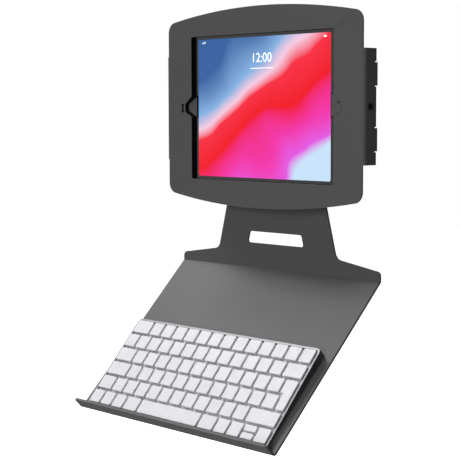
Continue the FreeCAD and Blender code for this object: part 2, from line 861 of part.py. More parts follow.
def button_plate(label, side):
    """A tapering plate behind a notch, with a tail and a standoff against the cover."""
    body = new_body(label)
    plate = front_sketch(body, size.plate_back)
    overlap = 1
    add_loop(plate, [
        (side * size.plate_mouth, size.notch_bottom - overlap),
        (side * size.notch_reach, -size.notch_tip - overlap),
        (side * size.plate_tip, -size.tail_half),
        (side * size.plate_tip, size.tail_half),
        (side * size.notch_reach, size.notch_tip + overlap),
        (side * size.plate_mouth, size.notch_top + overlap),
    ])
    pad(body, plate, size.plate)
    front = size.plate_back + size.plate
    standoff = front_sketch(body, front)
    inner = size.notch_reach + 0.5
    outer = inner + size.standoff_wide
    add_box_loop(standoff, side * inner, side * outer, -size.tail_half, size.tail_half)
    pad(body, standoff, size.cover_front - size.skin - front)
    return body


def home_button_cover():
    """The left plate, with a low boss and an ear folded forwards into the cover's slit."""
    body = button_plate("home_button_cover", -1)
    front = size.plate_back + size.plate
    boss = front_sketch(body, front)
    mouth = size.plate_mouth
    add_loop(boss, [
        (-mouth, size.boss_bottom),
        (-size.boss_tip, size.boss_tip_bottom),
        (-size.boss_tip, size.boss_tip_top),
        (-mouth, size.boss_top),
    ])
    pad(body, boss, size.button_boss)

    def boss_tip(middle, way):
        return lies_along(way, "y") and near(middle.x, -size.boss_tip)

    round_edges(body, size.boss_round, boss_tip)
    ear = front_sketch(body, front)
    add_box_loop(ear, -size.slit_centre - size.ear_thick / 2, -size.slit_centre + size.ear_thick / 2,
                 -size.tail_half, size.tail_half)
    pad(body, ear, size.cover_front - front - size.ear_recess)


def camera_cover():
    """The right plate, with a boss that fills its notch and a small hole for the light sensor."""
    body = button_plate("camera_cover", 1)
    front = size.plate_back + size.plate
    boss = front_sketch(body, front)
    add_loop(boss, notch_corners(1, size.boss_gap))
    pad(body, boss, size.cover_front - front)

    def boss_tip(middle, way):
        return (lies_along(way, "y") and near(middle.x, size.notch_reach - size.boss_gap)
                and near(abs(middle.z), size.notch_tip - size.boss_gap))

    round_edges(body, size.notch_round - size.boss_gap, boss_tip)
    hole = front_sketch(body)
    add_circle(hole, size.sensor_hole, (size.sensor_place, size.sensor_level))
    pocket(body, hole, both_ways=True)


def foam_strips():
    """Strips stuck behind the cover, round the window."""
    back = -(size.cover_front - size.skin)
    depth = (back, back + size.foam_thick)
    level = size.tablet_height / 2 - size.foam_wide - 1
    run = size.window_width / 2 + 10
    plain_box("foam_top", (-run, run), depth, (level, level + size.foam_wide))
    plain_box("foam_bottom", (-run, run), depth, (-level - size.foam_wide, -level))
    near_edge = size.window_width / 2 + 5
    far_edge = near_edge + size.foam_wide
    clear_top = size.notch_top + 6
    clear_bottom = size.notch_bottom - 6
    for label, side in (("foam_left", -1), ("foam_right", 1)):
        across = (near_edge, far_edge) if side > 0 else (-far_edge, -near_edge)
        upper = plain_box(label + "_upper", across, depth, (clear_top, level - 4))
        lower = plain_box(label + "_lower", across, depth, (4 - level, clear_bottom))
        group(label, [upper, lower])


def foam_back():
    """Two pads between the shell's floor and the tablet's back."""
    front = size.glass_front - size.tablet_thick
    back = size.floor_back + size.skin
    inner = size.back_pad_place
    outer = inner + size.back_pad_wide
    tall = (-size.back_pad_half, size.back_pad_half)
    pads = []
    for name, across in (("left", (-outer, -inner)), ("right", (inner, outer))):
        pads.append(plain_box(f"foam_back_{name}", across, (-front, -back), tall))
    group("foam_back", pads)


# ---------------------------------------------------------------- the lock

def lock_barrel():
    """Barrel through the right wing, with a collar against the wing's inner face."""
    wing_inner = size.wing_width / 2 - size.skin
    tube = bar_along_x("barrel_tube", size.barrel_radius, size.barrel_inner, size.barrel_outer,
                       size.lock_level)
    collar = bar_along_x("barrel_collar", size.collar_radius, wing_inner - size.collar_thick,
                         wing_inner, size.lock_level)
    bore = bar_along_x("barrel_bore", size.plug_bore, size.barrel_inner - 1, size.barrel_outer + 1,
                       size.lock_level)
    taken_from("lock_barrel", joined("barrel_solid", [tube, collar]), bore)


def lock_nut():
    """Hexagon nut that clamps the barrel's collar to the wing."""
    body = new_body("lock_nut")
    blank = side_sketch(body)
    add_hexagon(blank, size.lock_nut_flat, (-size.lock_level, 0))
    pad(body, blank, size.lock_nut_tall)
    bore = side_sketch(body)
    add_circle(bore, size.barrel_radius + 0.03, (-size.lock_level, 0))
    pocket(body, bore, both_ways=True)
    place(body, size.wing_width / 2 - size.skin - size.collar_thick - size.lock_nut_tall)


def lock_plug():
    """The part that the key turns, with its keyway and a stub for the cam."""
    radius = size.plug_bore - size.plug_play
    shaft = bar_along_x("plug_shaft", radius, size.cam_inner + size.cam_thick,
                        size.barrel_outer - 0.1, size.lock_level)
    stub = bar_along_x("plug_stub", size.stub_radius, size.cam_inner - 0.4,
                       size.cam_inner + size.cam_thick, size.lock_level)
    keyway = plain_box("plug_keyway", (size.barrel_outer - size.keyway_deep, size.barrel_outer + 1),
                       (-size.lock_level - size.keyway_half, -size.lock_level + size.keyway_half),
                       (-size.keyway_tall, size.keyway_tall))
    taken_from("lock_plug", joined("plug_solid", [shaft, stub]), keyway)


def lock_cam():
    """A flat cam whose arm points to the back when it is open."""
    end = size.cam_inner + size.cam_thick
    hub = bar_along_x("cam_disc", size.cam_hub, size.cam_inner, end, size.lock_level)
    arm = plain_box("cam_arm", (size.cam_inner, end),
                    (-size.lock_level, -size.lock_level + size.cam_reach),
                    (-size.cam_half, size.cam_half))
    bore = bar_along_x("cam_bore", size.stub_radius + 0.03, size.cam_inner - 1, end + 1,
                       size.lock_level)
    taken_from("lock_cam", joined("cam_solid", [hub, arm]), bore)


def lock_strike():
    """A hook on the shell's ear that the cam arm turns in behind."""
    across = (size.cam_inner - size.strike_side, size.cam_inner + size.cam_thick + size.strike_side)
    post_top = size.cam_reach + 3
    ear_front = -(size.floor_back + size.skin)
    hook_back = -size.lock_level - size.cam_half - 0.5
    hook_front = hook_back - size.strike_skin
    post_height = (post_top - size.strike_skin, post_top)
    hook_height = (size.cam_hub + 0.7, post_top)
    foot_height = (post_top - size.strike_skin, post_top + size.strike_foot)
    post = plain_box("strike_post", across, (hook_front, ear_front), post_height)
    hook = plain_box("strike_hook", across, (hook_front, hook_back), hook_height)
    flange = plain_box("strike_flange", across, (ear_front - size.strike_skin, ear_front), foot_height)
    joined("lock_strike", [post, hook, flange])


# ---------------------------------------------------------------- the tablet

def rounded_plate(label, width, height, thick, front, corner):
    """A plate that faces the user, with rounded corners."""
    body = new_body(label)
    outline = front_sketch(body, front - thick)
    add_centred_loop(outline, width, height)
    pad(body, outline, thick)

    def plate_corner(middle, way):
        return (lies_along(way, "y") and near(abs(middle.x), width / 2)
                and near(abs(middle.z), height / 2))

    round_edges(body, corner, plate_corner)
    return body


def tablet():
    glass = rounded_plate("tablet_glass", size.tablet_width - 0.6, size.tablet_height - 0.6,
                          size.glass_thick, size.glass_front, size.tablet_corner - 0.3)
    button_spot = (-size.button_place, 0)
    hole = front_sketch(glass)
    add_circle(hole, size.button_radius + size.button_play, button_spot)
    pocket(glass, hole, both_ways=True)
    housing_front = size.glass_front - size.glass_thick
    housing = rounded_plate("tablet_body", size.tablet_width, size.tablet_height,
                            size.tablet_thick - size.glass_thick, housing_front, size.tablet_corner)
    bay = front_sketch(housing, housing_front)
    add_centred_loop(bay, size.display_width + 0.2, size.display_height + 0.2)
    pocket(housing, bay, size.display_thick)
    well = front_sketch(housing, housing_front)
    add_circle(well, size.button_radius + size.button_play, button_spot)
    pocket(housing, well, size.button_thick)

    def back_edge(middle, way):
        return near(middle.y, -(size.glass_front - size.tablet_thick)) and abs(way.y) < 0.1

    round_edges(housing, 2, back_edge)
    rounded_plate("tablet_display", size.display_width, size.display_height, size.display_thick,
                  housing_front, as_dim(1))
    button = new_body("tablet_home_button")
    disc = front_sketch(button, size.glass_front - size.button_thick)
    add_circle(disc, size.button_radius, button_spot)
    pad(button, disc, size.button_thick)


# ---------------------------------------------------------------- the keyboard

def rounded_board(body, low_sketch_level, height, width, depth, corner):
    """Pad a rounded rectangle upwards from a level above the tray."""
    outline = top_sketch(body, low_sketch_level)
    add_centred_loop(outline, width, depth)
    pad(body, outline, height)

    def board_corner(middle, way):
        return lies_along(way, "z") and near(abs(middle.x), width / 2) and near(abs(middle.y), depth / 2)

    round_edges(body, corner, board_corner)


def field_half_sizes():
    """Half width and half depth of the key field, counted in whole pitches."""
    return size.key_wide * BOARD_UNITS / 2, size.key_deep * ROWS / 2


def opening_half_sizes():
    """Half width and half depth of the opening in the case."""
    across, deep = field_half_sizes()
    trim = size.key_gap / 2 - size.key_room
    return across - trim, deep - trim


def deck_height(back):
    """Height of the deck above the tray, this far behind the keyboard's centre."""
    return size.board_front + (size.board_depth / 2 + back) * tangent(size.deck_slope)


def keyboard_case():
    """A wedge-shaped frame round the key field."""
    body = new_body("keyboard_case")
    low = size.foot_tall + size.base_thick
    rear = deck_height(size.board_depth / 2)
    rounded_board(body, low, rear - low, size.board_width, size.board_depth, size.board_corner)
    slope = side_sketch(body)
    half = size.board_depth / 2
    add_loop(slope, [
        (-half - 1, deck_height(-half - 1)),
        (half + 1, deck_height(half + 1)),
        (half + 1, rear + 5),
        (-half - 1, rear + 5),
    ])
    pocket(body, slope, both_ways=True)
    field = top_sketch(body)
    across, deep = opening_half_sizes()
    add_box_loop(field, -across, across, -deep, deep)
    pocket(body, field, both_ways=True)

    def field_corner(middle, way):
        return abs(way.z) > 0.9 and near(abs(middle.x), across) and near(abs(middle.y), deep)

    round_edges(body, size.key_corner + 1, field_corner)
    place_on_tray(body, size.board_place)


def keyboard_base():
    body = new_body("keyboard_base")
    rounded_board(body, size.foot_tall, size.base_thick, size.board_width - 1, size.board_depth - 1,
                  size.board_corner - 0.5)
    place_on_tray(body, size.board_place)


def keyboard_feet():
    body = new_body("keyboard_feet")
    discs = top_sketch(body)
    for side in (1, -1):
        for end in (1, -1):
            spot = (side * (size.board_width / 2 - 12), end * (size.board_depth / 2 - 10))
            add_circle(discs, size.foot_radius, spot)
    pad(body, discs, size.foot_tall)
    place_on_tray(body, size.board_place)


def keyboard_battery():
    body = new_body("keyboard_battery")
    block = top_sketch(body, size.foot_tall + size.base_thick)
    add_box_loop(block, -size.cell_wide / 2, size.cell_wide / 2,
                 size.cell_place - size.cell_deep / 2, size.cell_place + size.cell_deep / 2)
    pad(body, block, size.cell_tall)
    place_on_tray(body, size.board_place)


def place_in_deck(body):
    """Put a body, drawn round the deck's centre, on the sloping deck."""
    place_on_tray(body, size.board_place, deck_height(as_dim(0)), size.deck_slope)


def switch_sheet():
    """The sheet with the key switches, parallel to the deck."""
    body = new_body("switch_sheet")
    across, deep = opening_half_sizes()
    rounded_board(body, -size.switch_level - size.switch_thick, size.switch_thick,
                  across * 2 - 0.6, deep * 2 - 1.2, size.switch_corner)
    place_in_deck(body)


def key_body(label, outlines):
    """Keycaps that share a node: each outline is a loop of corners on the deck."""
    body = new_body(label)
    caps = top_sketch(body, size.key_rise - size.key_thick)
    for outline in outlines:
        add_loop(caps, outline)
    pad(body, caps, size.key_thick)
    round_edges(body, size.key_corner, lambda middle, way: lies_along(way, "z"))
    place_in_deck(body)


def key_loop(row, start, units, low=0, high=1):
    """Corners of a key: row from the back, start and width in pitches, part of the row's depth."""
    across, deep = field_half_sizes()
    half_gap = size.key_gap / 2
    left = -across + size.key_wide * start + half_gap
    right = -across + size.key_wide * (start + units) - half_gap
    back = deep - size.key_deep * row
    bottom = back - size.key_deep * (1 - low) + half_gap
    top = back - size.key_deep * (1 - high) - half_gap
    return [(left, bottom), (right, bottom), (right, top), (left, top)]


def row_loops(row, units, start=0):
    loops = []
    for unit in units:
        loops.append(key_loop(row, start, unit))
        start += unit
    return loops


def keys():
    for row, (label, units) in enumerate(ROW_UNITS.items()):
        key_body(label, row_loops(row, units))
    last = ROWS - 1
    space_start = sum(BOTTOM_LEFT)
    right_start = space_start + SPACE_UNITS
    arrow_start = right_start + sum(BOTTOM_RIGHT)
    key_body("key_row_6", row_loops(last, BOTTOM_LEFT) + row_loops(last, BOTTOM_RIGHT, right_start))
    key_body("space_bar", [key_loop(last, space_start, SPACE_UNITS)])
    key_body("arrow_keys", [
        key_loop(last, arrow_start, 1),
        key_loop(last, arrow_start + 1, 1, low=0.47),
        key_loop(last, arrow_start + 1, 1, high=0.53),
        key_loop(last, arrow_start + 2, 1),
    ])
    enter_key()


def enter_key():
    """The tall enter key, narrower in its lower row."""
    upper = key_loop(2, BOARD_UNITS - 1, 1)
    lower = key_loop(3, BOARD_UNITS - 0.75, 0.75)
    outline = [
        lower[0],
        lower[1],
        upper[2],
        upper[3],
        upper[0],
        (lower[0][0], upper[0][1]),
    ]
    key_body("enter_key", [outline])


# ---------------------------------------------------------------- build and write

NODES = [
    "tray_bracket", "vesa_inserts", "back_shell", "enclosure_screws", "enclosure_nuts",
    "front_cover", "home_button_cover", "camera_cover",
    "foam_top", "foam_bottom", "foam_left", "foam_right", "foam_back",
    "lock_barrel", "lock_nut", "lock_plug", "lock_cam", "lock_strike",
    "tablet_body", "tablet_glass", "tablet_display", "tablet_home_button",
    "keyboard_case", "keyboard_base", "keyboard_feet", "keyboard_battery", "switch_sheet",
    "key_row_1", "key_row_2", "key_row_3", "key_row_4", "key_row_5", "key_row_6",
    "space_bar", "enter_key", "arrow_keys",
]


def build():
    tray_bracket()
    vesa_inserts()
    back_shell()
    enclosure_screws()
    enclosure_nuts()
    front_cover()
    home_button_cover()
    camera_cover()
    foam_strips()
    foam_back()
    lock_barrel()
    lock_nut()
    lock_plug()
    lock_cam()
    lock_strike()
    tablet()
    keyboard_case()
    keyboard_base()
    keyboard_feet()
    keyboard_battery()
    switch_sheet()
    keys()
    doc.recompute()


def check():
    for obj in doc.Objects:
        if "Invalid" in obj.State or "Error" in obj.State:
            owner = obj.getParentGeoFeatureGroup()
            raise RuntimeError(f"{obj.Label} of {owner and owner.Label} did not compute: {obj.State}")
    for node in NODES:
        shape = doc.getObjectsByLabel(node)[0].Shape
        if shape.isNull() or not shape.isValid():
            raise RuntimeError(f"{node} has no valid shape")


def write():
    os.makedirs("parts", exist_ok=True)
    for node in NODES:
        shape = doc.getObjectsByLabel(node)[0].Shape
        shape.exportStep(f"parts/{node}.step")
        print(node, len(shape.Solids), round(shape.Volume))


build()
check()
write()
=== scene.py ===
import bmesh
import bpy
import json
from math import cos, pi, radians, sin
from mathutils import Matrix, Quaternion, Vector

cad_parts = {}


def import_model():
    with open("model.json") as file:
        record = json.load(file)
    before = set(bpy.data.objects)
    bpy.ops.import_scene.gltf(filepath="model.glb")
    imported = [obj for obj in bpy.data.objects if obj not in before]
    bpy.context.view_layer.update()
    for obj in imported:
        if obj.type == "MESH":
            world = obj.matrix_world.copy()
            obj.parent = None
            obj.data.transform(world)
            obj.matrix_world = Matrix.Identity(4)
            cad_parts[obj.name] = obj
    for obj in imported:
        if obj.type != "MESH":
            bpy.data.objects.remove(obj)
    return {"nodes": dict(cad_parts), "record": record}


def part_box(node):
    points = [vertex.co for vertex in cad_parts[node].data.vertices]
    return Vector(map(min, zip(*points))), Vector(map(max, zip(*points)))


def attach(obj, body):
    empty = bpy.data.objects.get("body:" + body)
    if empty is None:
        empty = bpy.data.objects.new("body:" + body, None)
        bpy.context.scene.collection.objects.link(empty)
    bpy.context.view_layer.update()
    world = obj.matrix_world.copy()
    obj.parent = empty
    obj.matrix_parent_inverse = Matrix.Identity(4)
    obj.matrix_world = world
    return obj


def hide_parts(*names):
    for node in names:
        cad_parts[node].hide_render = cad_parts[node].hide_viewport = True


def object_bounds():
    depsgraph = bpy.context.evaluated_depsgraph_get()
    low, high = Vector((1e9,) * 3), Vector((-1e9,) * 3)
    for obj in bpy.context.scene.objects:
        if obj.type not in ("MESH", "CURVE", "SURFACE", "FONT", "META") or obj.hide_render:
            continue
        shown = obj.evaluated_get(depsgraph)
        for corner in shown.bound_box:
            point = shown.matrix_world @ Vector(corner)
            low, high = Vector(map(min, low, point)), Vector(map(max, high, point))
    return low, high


# Looks of the tablet stand: a powder-coated steel enclosure, upright and keyboard tray, with a
# tablet and a compact keyboard in place.  Lengths are metres in the CAD frame: +X right,
# +Y towards the wall, +Z up.

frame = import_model()
nodes = frame["nodes"]
record = frame["record"]
cad_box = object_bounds()

MM = 0.001
SLOT_OF = {part["node"]: part["material_slot"] for part in record["subparts"]}
BODY_OF = {node: body for body, members in record["behaviour"]["bodies"].items() for node in members}

# Planes past which the coat is painted near-black, a painted shade as in the photo: on the
# cover's cut edges, on the plates behind the inserts' bosses, and on the ear in the slit.  A cut
# edge faces sideways, so the forward part of its normal is less than CUT_LEAN.
COVER_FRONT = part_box("front_cover")[0].y
CUT_DEPTH = COVER_FRONT + 0.4 * MM
BOSS_DEPTH = COVER_FRONT + 2.5 * MM
EAR_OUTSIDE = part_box("home_button_cover")[0].x
EAR_INSIDE = EAR_OUTSIDE + 5.5 * MM
CUT_REACH = 4 * MM - EAR_OUTSIDE
CUT_LEAN = 0.6

# Greys of the coat, from black at 0 to white at 1; the near-black one is the painted shade
COAT_LEVEL = 0.175
SHELL_LEVEL = 0.12
PAINTED_SHADE_LEVEL = 0.012
COAT_ROUGHNESS = 0.5


# ---------------------------------------------------------------- shader helpers

class Shader:
    """A node tree under construction, with short names for the nodes that the materials use."""

    def __init__(self, name):
        self.material = bpy.data.materials.new(name)
        self.material.use_nodes = True
        self.tree = self.material.node_tree
        self.tree.nodes.clear()
        self.surface = self.tree.nodes.new("ShaderNodeBsdfPrincipled")
        output = self.tree.nodes.new("ShaderNodeOutputMaterial")
        self.tree.links.new(self.surface.outputs[0], output.inputs[0])
        coordinates = self.tree.nodes.new("ShaderNodeTexCoord").outputs
        self.place = coordinates["Object"]
        self.facing = coordinates["Normal"]

    def put(self, socket, value):
        """Link an output to a socket, or set the socket's own value."""
        if isinstance(value, bpy.types.NodeSocket):
            self.tree.links.new(value, socket)
        else:
            socket.default_value = value

    def set(self, **values):
        """Set the surface's own inputs, each named with _ for a space."""
        for name, value in values.items():
            self.put(self.surface.inputs[name.replace("_", " ")], value)

    def noise(self, scale, detail=3, roughness=0.5, place=None):
        """Soft noise, with this many features to the metre."""
        node = self.tree.nodes.new("ShaderNodeTexNoise")
        self.put(node.inputs["Vector"], place or self.place)
        node.inputs["Scale"].default_value = scale
        node.inputs["Detail"].default_value = detail
        node.inputs["Roughness"].default_value = roughness
        return node.outputs["Fac"]

    def cells(self, scale):
        """Distance from the middle of each cell, with this many cells to the metre."""
        node = self.tree.nodes.new("ShaderNodeTexVoronoi")
        self.put(node.inputs["Vector"], self.place)
        node.inputs["Scale"].default_value = scale
        return node.outputs["Distance"]

    def stretched(self, scales):
        """Object coordinates, scaled along each axis for brushed or drawn marks."""
        node = self.tree.nodes.new("ShaderNodeMapping")
        self.put(node.inputs["Vector"], self.place)
        node.inputs["Scale"].default_value = scales
        return node.outputs[0]

    def span(self, value, low, high, to_low=0.0, to_high=1.0):
        """The value, mapped and clamped from low and high to the other two."""
        node = self.tree.nodes.new("ShaderNodeMapRange")
        self.put(node.inputs["Value"], value)
        node.inputs["From Min"].default_value = low
        node.inputs["From Max"].default_value = high
        node.inputs["To Min"].default_value = to_low
        node.inputs["To Max"].default_value = to_high
        return node.outputs[0]

    def maths(self, operation, first, second=0.0):
        node = self.tree.nodes.new("ShaderNodeMath")
        node.operation = operation
        self.put(node.inputs[0], first)
        self.put(node.inputs[1], second)
        return node.outputs[0]

    def blend(self, amount, first, second):
        """The first colour at 0, the second at 1."""
        node = self.tree.nodes.new("ShaderNodeMix")
        node.data_type = "RGBA"
        self.put(node.inputs[0], amount)
        self.put(node.inputs[6], first)
        self.put(node.inputs[7], second)
        return node.outputs[2]

    def split(self, vector):
        """The X, Y and Z of a vector."""
        node = self.tree.nodes.new("ShaderNodeSeparateXYZ")
        self.put(node.inputs[0], vector)
        return node.outputs

    def edge(self, radius):
        """Near 1 on outer edges within the radius, and 0 on flat faces."""
        bevel = self.tree.nodes.new("ShaderNodeBevel")
        bevel.samples = 4
        bevel.inputs["Radius"].default_value = radius
        shape = self.tree.nodes.new("ShaderNodeNewGeometry")
        dot = self.tree.nodes.new("ShaderNodeVectorMath")
        dot.operation = "DOT_PRODUCT"
        self.put(dot.inputs[0], bevel.outputs[0])
        self.put(dot.inputs[1], shape.outputs["Normal"])
        turned = self.maths("SUBTRACT", 1.0, dot.outputs["Value"])
        return self.span(turned, 0.02, 0.25)

    def relief(self, height, strength, distance, over=None):
        """Bumps of this distance, laid over another relief where one is given."""
        node = self.tree.nodes.new("ShaderNodeBump")
        self.put(node.inputs["Height"], height)
        node.inputs["Strength"].default_value = strength
        node.inputs["Distance"].default_value = distance
        if over is not None:
            self.put(node.inputs["Normal"], over)
        return node.outputs[0]

    def paint_shade(self, amount):
        """Paint shade over the base colour: near-black, where the amount is 1."""
        painted = self.surface.inputs["Base Color"].links[0].from_socket
        self.set(Base_Color=self.blend(amount, painted, grey(PAINTED_SHADE_LEVEL)))


def grey(level):
    return (level, level, level, 1)


def shade(colour, factor=1.0):
    """A colour with its alpha, made darker by the factor."""
    return tuple(factor * channel for channel in colour) + (1,)


# ---------------------------------------------------------------- materials

def coat_shader(name, level):
    """Dark textured powder coat: orange-peel relief, fine speckle, paler edges that are partly wear
    and partly a painted highlight.
    """
    s = Shader(name)
    cloud = s.noise(9, detail=2)
    speckle = s.span(s.noise(2600, detail=2), 0.55, 0.75, 0, 0.25)
    scuffs = s.span(s.noise(60, detail=4), 0.35, 0.75, 0.15, 0.6)
    # paler edges, partly scuffed wear and partly a painted highlight
    wear_and_highlight = s.maths("MULTIPLY", s.edge(0.7 * MM), scuffs)
    tone = s.blend(cloud, grey(level * 0.94), grey(level * 1.06))
    tone = s.blend(speckle, tone, grey(level * 1.5))
    tone = s.blend(wear_and_highlight, tone, grey(level * 1.9))
    peel = s.relief(s.noise(1150, roughness=0.55), 0.22, 0.25 * MM)
    pimples = s.relief(s.cells(2100), 0.08, 0.1 * MM, over=peel)
    sheen = s.span(s.noise(700), 0.3, 0.7, COAT_ROUGHNESS - 0.07, COAT_ROUGHNESS + 0.09)
    s.set(Base_Color=tone, Normal=pimples, Roughness=sheen, Specular_IOR_Level=0.08)
    return s


def powder_coat(name, level):
    """The coat with no near-black painted shade."""
    return coat_shader(name, level).material


def cover_coat():
    """Powder coat on the cover, with painted shade: near-black on the cut edges of its window,
    notches and slit.
    """
    s = coat_shader("cover_coat", COAT_LEVEL)
    x, y, _ = s.split(s.place)
    _, forward, _ = s.split(s.facing)
    inside = s.maths("LESS_THAN", s.maths("ABSOLUTE", x), CUT_REACH)
    sideways = s.maths("LESS_THAN", s.maths("ABSOLUTE", forward), CUT_LEAN)
    deep = s.maths("GREATER_THAN", y, CUT_DEPTH)
    # painted shade: near-black on the sideways cut edges behind the front, inside the wings
    s.paint_shade(s.maths("MULTIPLY", inside, s.maths("MULTIPLY", sideways, deep)))
    return s.material


def plate_coat():
    """Powder coat on an insert's raised boss, with painted shade: near-black on its plate and on the
    ear.
    """
    s = coat_shader("plate_coat", COAT_LEVEL)
    x, y, _ = s.split(s.place)
    deep = s.maths("GREATER_THAN", y, BOSS_DEPTH)
    ear = s.maths("LESS_THAN", x, EAR_INSIDE)
    # painted shade: near-black on the plate behind the boss and on the ear in the slit
    s.paint_shade(s.maths("MAXIMUM", deep, ear))
    return s.material


def zinc_steel():
    """Zinc plate: cool grey with faint yellow passivation and turning marks."""
    s = Shader("zinc_steel")
    tone = s.blend(s.noise(220), (0.50, 0.51, 0.52, 1), (0.62, 0.60, 0.52, 1))
    # painted highlight: the edges are paler
    tone = s.blend(s.edge(0.3 * MM), tone, grey(0.8))
    turning = s.noise(1500, place=s.stretched((1, 12, 1)))
    s.set(Base_Color=tone, Metallic=1.0, Normal=s.relief(turning, 0.15, 0.1 * MM))
    s.set(Roughness=s.span(s.noise(1800), 0.3, 0.7, 0.28, 0.46))
    return s.material


def lock_black():
    """Black nickel with fine scratches round the keyway."""
    s = Shader("lock_black")
    marks = s.noise(700, detail=4, roughness=0.6, place=s.stretched((1, 9, 1)))
    s.set(Base_Color=s.blend(marks, grey(0.012), grey(0.03)), Specular_IOR_Level=0.6)
    s.set(Roughness=s.span(marks, 0.35, 0.7, 0.25, 0.42))
    s.set(Normal=s.relief(marks, 0.12, 0.08 * MM))
    return s.material


def foam():
    """Closed-cell foam: matt black with small pores."""
    s = Shader("foam")
    pores = s.cells(1600)
    # painted shade: the pores' hollows are darker
    s.set(Base_Color=s.blend(s.span(pores, 0.1, 0.6), grey(0.008), grey(0.03)))
    s.set(Roughness=s.span(pores, 0.1, 0.7, 0.8, 0.97))
    s.set(Normal=s.relief(pores, 0.6, 0.3 * MM))
    return s.material


def anodised(name, colour, roughness, metallic):
    """Bead-blasted anodised aluminium with a painted highlight that makes its edges paler."""
    s = Shader(name)
    bead = s.noise(5200, detail=2)
    tone = s.blend(s.noise(14, detail=2), shade(colour, 0.96), shade(colour))
    # painted highlight: paler edges
    tone = s.blend(s.maths("MULTIPLY", s.edge(0.4 * MM), 0.15), tone, (0.7, 0.7, 0.71, 1))
    s.set(Base_Color=tone, Metallic=metallic, Normal=s.relief(bead, 0.10, 0.06 * MM))
    s.set(Roughness=s.span(bead, 0.3, 0.7, roughness - 0.06, roughness + 0.08))
    return s.material


def border_glass():
    """The black border of the cover glass, under a clear gloss with faint smears."""
    s = Shader("tablet_glass")
    smear = s.noise(45, detail=4, roughness=0.6, place=s.stretched((1, 1, 3)))
    s.set(Base_Color=s.blend(smear, grey(0.004), grey(0.009)), Specular_IOR_Level=0.5)
    s.set(Roughness=s.span(smear, 0.35, 0.75, 0.04, 0.12))
    return s.material


def gloss_plastic(name, level, roughness):
    """Glossy dark plastic with a faint swirl from the mould."""
    s = Shader(name)
    swirl = s.noise(160, detail=4)
    s.set(Base_Color=s.blend(swirl, grey(level * 0.85), grey(level * 1.15)))
    s.set(Roughness=s.span(swirl, 0.3, 0.7, roughness - 0.05, roughness + 0.07))
    s.set(Normal=s.relief(s.noise(900, detail=2), 0.05, 0.08 * MM))
    return s.material


def matte_plastic(name, colour):
    """Satin moulded plastic with a fine spark-eroded grain."""
    s = Shader(name)
    grain = s.noise(2400, detail=2)
    tone = s.blend(s.noise(30, detail=2), shade(colour, 0.965), shade(colour))
    # painted highlight: paler edges
    tone = s.blend(s.maths("MULTIPLY", s.edge(0.3 * MM), 0.35), tone, (0.92, 0.92, 0.93, 1))
    s.set(Base_Color=tone, Roughness=s.span(grain, 0.3, 0.7, 0.42, 0.58))
    s.set(Normal=s.relief(grain, 0.12, 0.06 * MM), Specular_IOR_Level=0.4)
    return s.material


def soft_rubber():
    """Dull grey rubber of the keyboard's feet."""
    s = Shader("board_rubber")
    grain = s.noise(1800)
    s.set(Base_Color=s.blend(grain, grey(0.09), grey(0.13)))
    s.set(Roughness=s.span(grain, 0.3, 0.7, 0.7, 0.9), Normal=s.relief(grain, 0.3, 0.1 * MM))
    return s.material


def keycap_plastic():
    """Near-white satin caps: fine grain, greyer touched patches, and paler edges as a painted
    highlight.
    """
    s = Shader("keycaps")
    touched = s.noise(70)
    tone = s.blend(s.span(touched, 0.4, 0.7), (0.93, 0.93, 0.97, 1), (0.88, 0.88, 0.92, 1))
    # painted highlight: paler edges
    tone = s.blend(s.maths("MULTIPLY", s.edge(0.4 * MM), 0.6), tone, (0.96, 0.96, 0.98, 1))
    grain = s.noise(3200, detail=2)
    s.set(Base_Color=tone, Roughness=s.span(touched, 0.3, 0.7, 0.36, 0.5))
    s.set(Normal=s.relief(grain, 0.1, 0.05 * MM), Specular_IOR_Level=0.4)
    return s.material


BAND_SLANT = (0.55, -0.75)
BAND_START = 0.62
BAND_BEND = 0.16


def screen_picture(low, high):
    """A lit picture: soft bands of blue, rose, red and magenta, bent by slow noise."""
    s = Shader("screen_picture")
    x, _, z = s.split(s.place)
    across = s.span(x, low.x, high.x)
    up = s.span(z, low.z, high.z)
    bend = s.span(s.noise(9, detail=1.5, roughness=0.4), 0.3, 0.7, -BAND_BEND, BAND_BEND)
    along_x = s.maths("MULTIPLY", across, BAND_SLANT[0])
    along_z = s.maths("MULTIPLY", up, BAND_SLANT[1])
    slant = s.maths("ADD", along_x, along_z)
    ramp = s.tree.nodes.new("ShaderNodeValToRGB")
    s.put(ramp.inputs[0], s.maths("ADD", s.maths("ADD", slant, bend), BAND_START))
    bands = [
        (0.0, (0.03, 0.12, 0.36, 1)),
        (0.24, (0.24, 0.46, 0.80, 1)),
        (0.36, (0.95, 0.62, 0.78, 1)),
        (0.46, (0.97, 0.02, 0.05, 1)),
        (0.66, (0.93, 0.0, 0.01, 1)),
        (0.82, (0.93, 0.03, 0.42, 1)),
        (0.94, (0.80, 0.10, 0.80, 1)),
        (1.0, (0.60, 0.80, 1.0, 1)),
    ]
    elements = ramp.color_ramp.elements
    for position, _ in bands[1:-1]:
        elements.new(position)
    for element, (position, colour) in zip(elements, bands):
        element.position = position
        element.color = colour
    s.set(Base_Color=grey(0), Roughness=0.1, Specular_IOR_Level=0.15)
    s.set(Emission_Color=ramp.outputs[0], Emission_Strength=0.95)
    return s.material


def lit_mark():
    """Lit white digits and signs."""
    s = Shader("lit_mark")
    s.set(Base_Color=s.blend(s.noise(400, detail=2), grey(0.9), grey(1)), Roughness=0.3)
    s.set(Emission_Color=grey(1), Emission_Strength=0.9)
    return s.material


